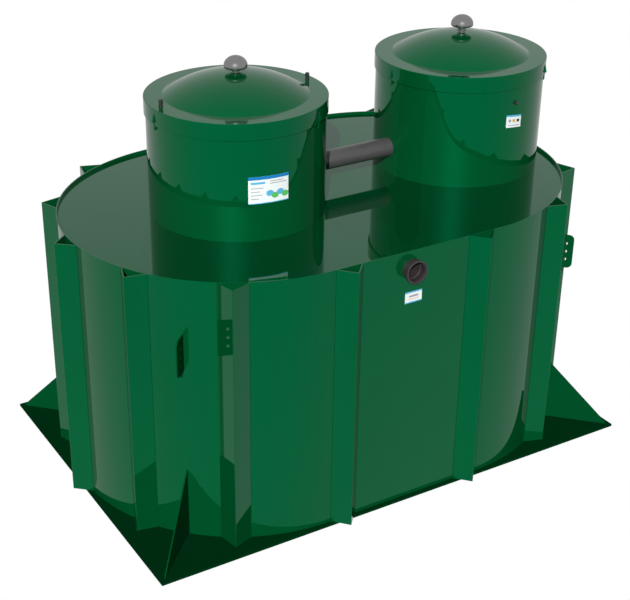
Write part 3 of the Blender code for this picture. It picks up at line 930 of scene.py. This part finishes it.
def label(name, finish, place):
    """A printed film: a grid with its own UV map, laid where place(across, up) says."""
    bm = bmesh.new()
    bm.loops.layers.uv.new("print")
    bmesh.ops.create_grid(bm, x_segments=LABEL_STEPS, y_segments=1, size=0.5, calc_uvs=True)
    for vert in bm.verts:
        vert.co = place(vert.co.x + 0.5, vert.co.y + 0.5)
    obj = make_object(name, bm)
    film = obj.modifiers.new("film", "SOLIDIFY")
    film.thickness = FILM
    film.offset = 1
    hang(obj, finish, [])


def on_shaft(node, start, end, low, high, drop=0.0):
    """Where a label lies on a shaft, between two directions and two heights, its right end lower."""
    box_low, box_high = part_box(node)
    x, radius = (box_low.x + box_high.x) / 2, box_high.y + FILM / 2

    def place(across, up):
        angle = math.radians(start + (end - start) * across)
        level = low + (high - low) * up - drop * across
        return Vector((x + radius * math.cos(angle), radius * math.sin(angle), level))
    return place


def on_front(left, right, low, high):
    """Where a label lies on the front wall, between two places along it and two heights."""
    def place(across, up):
        return Vector((left + (right - left) * across, -RADIUS - FILM / 2, low + (high - low) * up))
    return place


def labels():
    label("large_label", shaft_print(), on_shaft("shaft_1", *LARGE_LABEL))
    label("small_label", small_print(), on_shaft("shaft_2", *SMALL_LABEL, SMALL_LABEL_DROP))
    label("wall_label", wall_print(), on_front(*WALL_LABEL))


def floor():
    """A white ground that only the camera sees."""
    bm = bmesh.new()
    bmesh.ops.create_grid(bm, x_segments=1, y_segments=1, size=FLOOR_HALF)
    move(bm, shift(z=base_low.z - MERGE))
    obj = make_object("floor", bm)
    finish = Finish(bpy.data.materials.new("white_ground"))
    glow = finish.add("ShaderNodeEmission", {}, {"Color": (1, 1, 1, 1), "Strength": 1.0})
    finish.add("ShaderNodeOutputMaterial", {}, {"Surface": glow})
    obj.data.materials.append(finish.owner)
    obj.visible_diffuse = obj.visible_glossy = obj.visible_shadow = False


def sun(name, source, strength):
    """A far light that shines from a direction, and is not seen in the gloss."""
    light = bpy.data.lights.new(name, "SUN")
    light.energy = strength
    light.angle = math.radians(SUN_ANGLE)
    obj = bpy.data.objects.new(name, light)
    obj.rotation_euler = source.to_track_quat("Z", "Y").to_euler()
    obj.visible_glossy = False
    bpy.context.scene.collection.objects.link(obj)


def room():
    """White all round for reflections, with a glare towards the sun, and nearly dark for the rest."""
    world = bpy.data.worlds.new("room")
    bpy.context.scene.world = world
    light = Finish(world)
    direction = light.add("ShaderNodeTexCoord", out="Generated")
    towards = light.add("ShaderNodeVectorMath", {"operation": "DOT_PRODUCT"},
                        {0: direction, 1: SUN_FROM.normalized()}, out="Value")
    to_camera = light.add("ShaderNodeLightPath", out="Is Camera Ray")
    to_gloss = to_camera.output("Is Glossy Ray")
    twice = to_camera.output("Glossy Depth") > 1.5
    glare = math.e ** ((towards - 1) * GLARE_NARROWNESS) * (GLARE_ONCE + GLARE_TWICE * twice)
    strength = to_camera + to_gloss * (ROOM_WHITE + glare) + (1 - to_camera) * (1 - to_gloss) * ROOM_DIM
    back = light.add("ShaderNodeBackground", {}, {"Color": (1, 1, 1, 1), "Strength": strength})
    light.add("ShaderNodeOutputWorld", {}, {"Surface": back})


def camera():
    """The view of the photograph, its middle moved by the lens shift."""
    data = bpy.data.cameras.new("camera")
    data.sensor_width = SENSOR
    data.lens = FOCAL_PIXELS * SENSOR / IMAGE_WIDTH
    data.shift_x = (IMAGE_WIDTH / 2 - CENTRE_PIXEL[0]) / IMAGE_WIDTH
    data.shift_y = (CENTRE_PIXEL[1] - IMAGE_HEIGHT / 2) / IMAGE_WIDTH
    yaw, pitch = math.radians(CAMERA_YAW), math.radians(CAMERA_PITCH)
    forward = Vector((-math.sin(yaw) * math.cos(pitch), math.cos(yaw) * math.cos(pitch), math.sin(pitch)))
    obj = bpy.data.objects.new("camera", data)
    obj.location = CAMERA_PLACE
    obj.rotation_euler = forward.to_track_quat("-Z", "Y").to_euler()
    bpy.context.scene.collection.objects.link(obj)
    bpy.context.scene.camera = obj


camera()
sun("sun", SUN_FROM, SUN_STRENGTH)
sun("back_light", BACK_FROM, BACK_STRENGTH)
room()
floor()
bpy.context.scene.view_settings.view_transform = "Standard"

green = glossy_sheet("green_sheet", "green_plastic", (0.0003, 0.069, 0.0180))
# The deck's green is darker than the walls' green: painted shade, standing in for the dimmer light the
# deck gets inside the rim and between the shafts.
deck_painted_shade_green = glossy_sheet("deck_painted_shade_sheet", "green_plastic", (0.0003, 0.050, 0.0140))
# The base plate's green is about half the walls' green and has no gloss: its darkness is painted shade
# that the lamps don't give it.
base_painted_shade_green = glossy_sheet("base_painted_shade_sheet", "green_base_plastic", (0.0003, 0.032, 0.0080), 0.0)
plate_green = glossy_sheet("plate_green_sheet", "green_plastic", (0.0003, 0.062, 0.0170), 0.0)
weld_green = glossy_sheet("green_weld", "green_plastic", (0.0003, 0.060, 0.0165), 0.0)
pipe_grey = moulded("grey_pipe", "grey_pipe_plastic", (0.066, 0.062, 0.065), 0.32, 400.0)
knob_grey = moulded("grey_knob", "knob_plastic", (0.020, 0.020, 0.021), 0.17, 500.0, KNOB_IOR)
socket_grey = moulded("brown_grey_socket", "grey_pipe_plastic", (0.036, 0.028, 0.030), 0.30, 400.0)
black = moulded("black_fitting", "dark_fitting_plastic", (0.020, 0.024, 0.022), 0.30, 600.0)

base_plate(base_painted_shade_green)
flat_walls(green)
round_walls(green)
ribs(green)
gussets(plate_green)
lugs(plate_green)
shafts(green)
lids(green)
knobs(knob_grey)
bolts(black)
cross_pipe(pipe_grey)
sockets(socket_grey, black)
cable_gland(black)
rim_strip(green)
rib_welds(weld_green)
gusset_welds(weld_green)
lug_welds(weld_green)
obround_weld("tank_foot_weld", RADIUS, FOOT, weld_green)
labels()
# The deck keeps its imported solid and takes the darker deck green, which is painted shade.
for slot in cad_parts["deck"].material_slots:
    slot.material = deck_painted_shade_green.owner
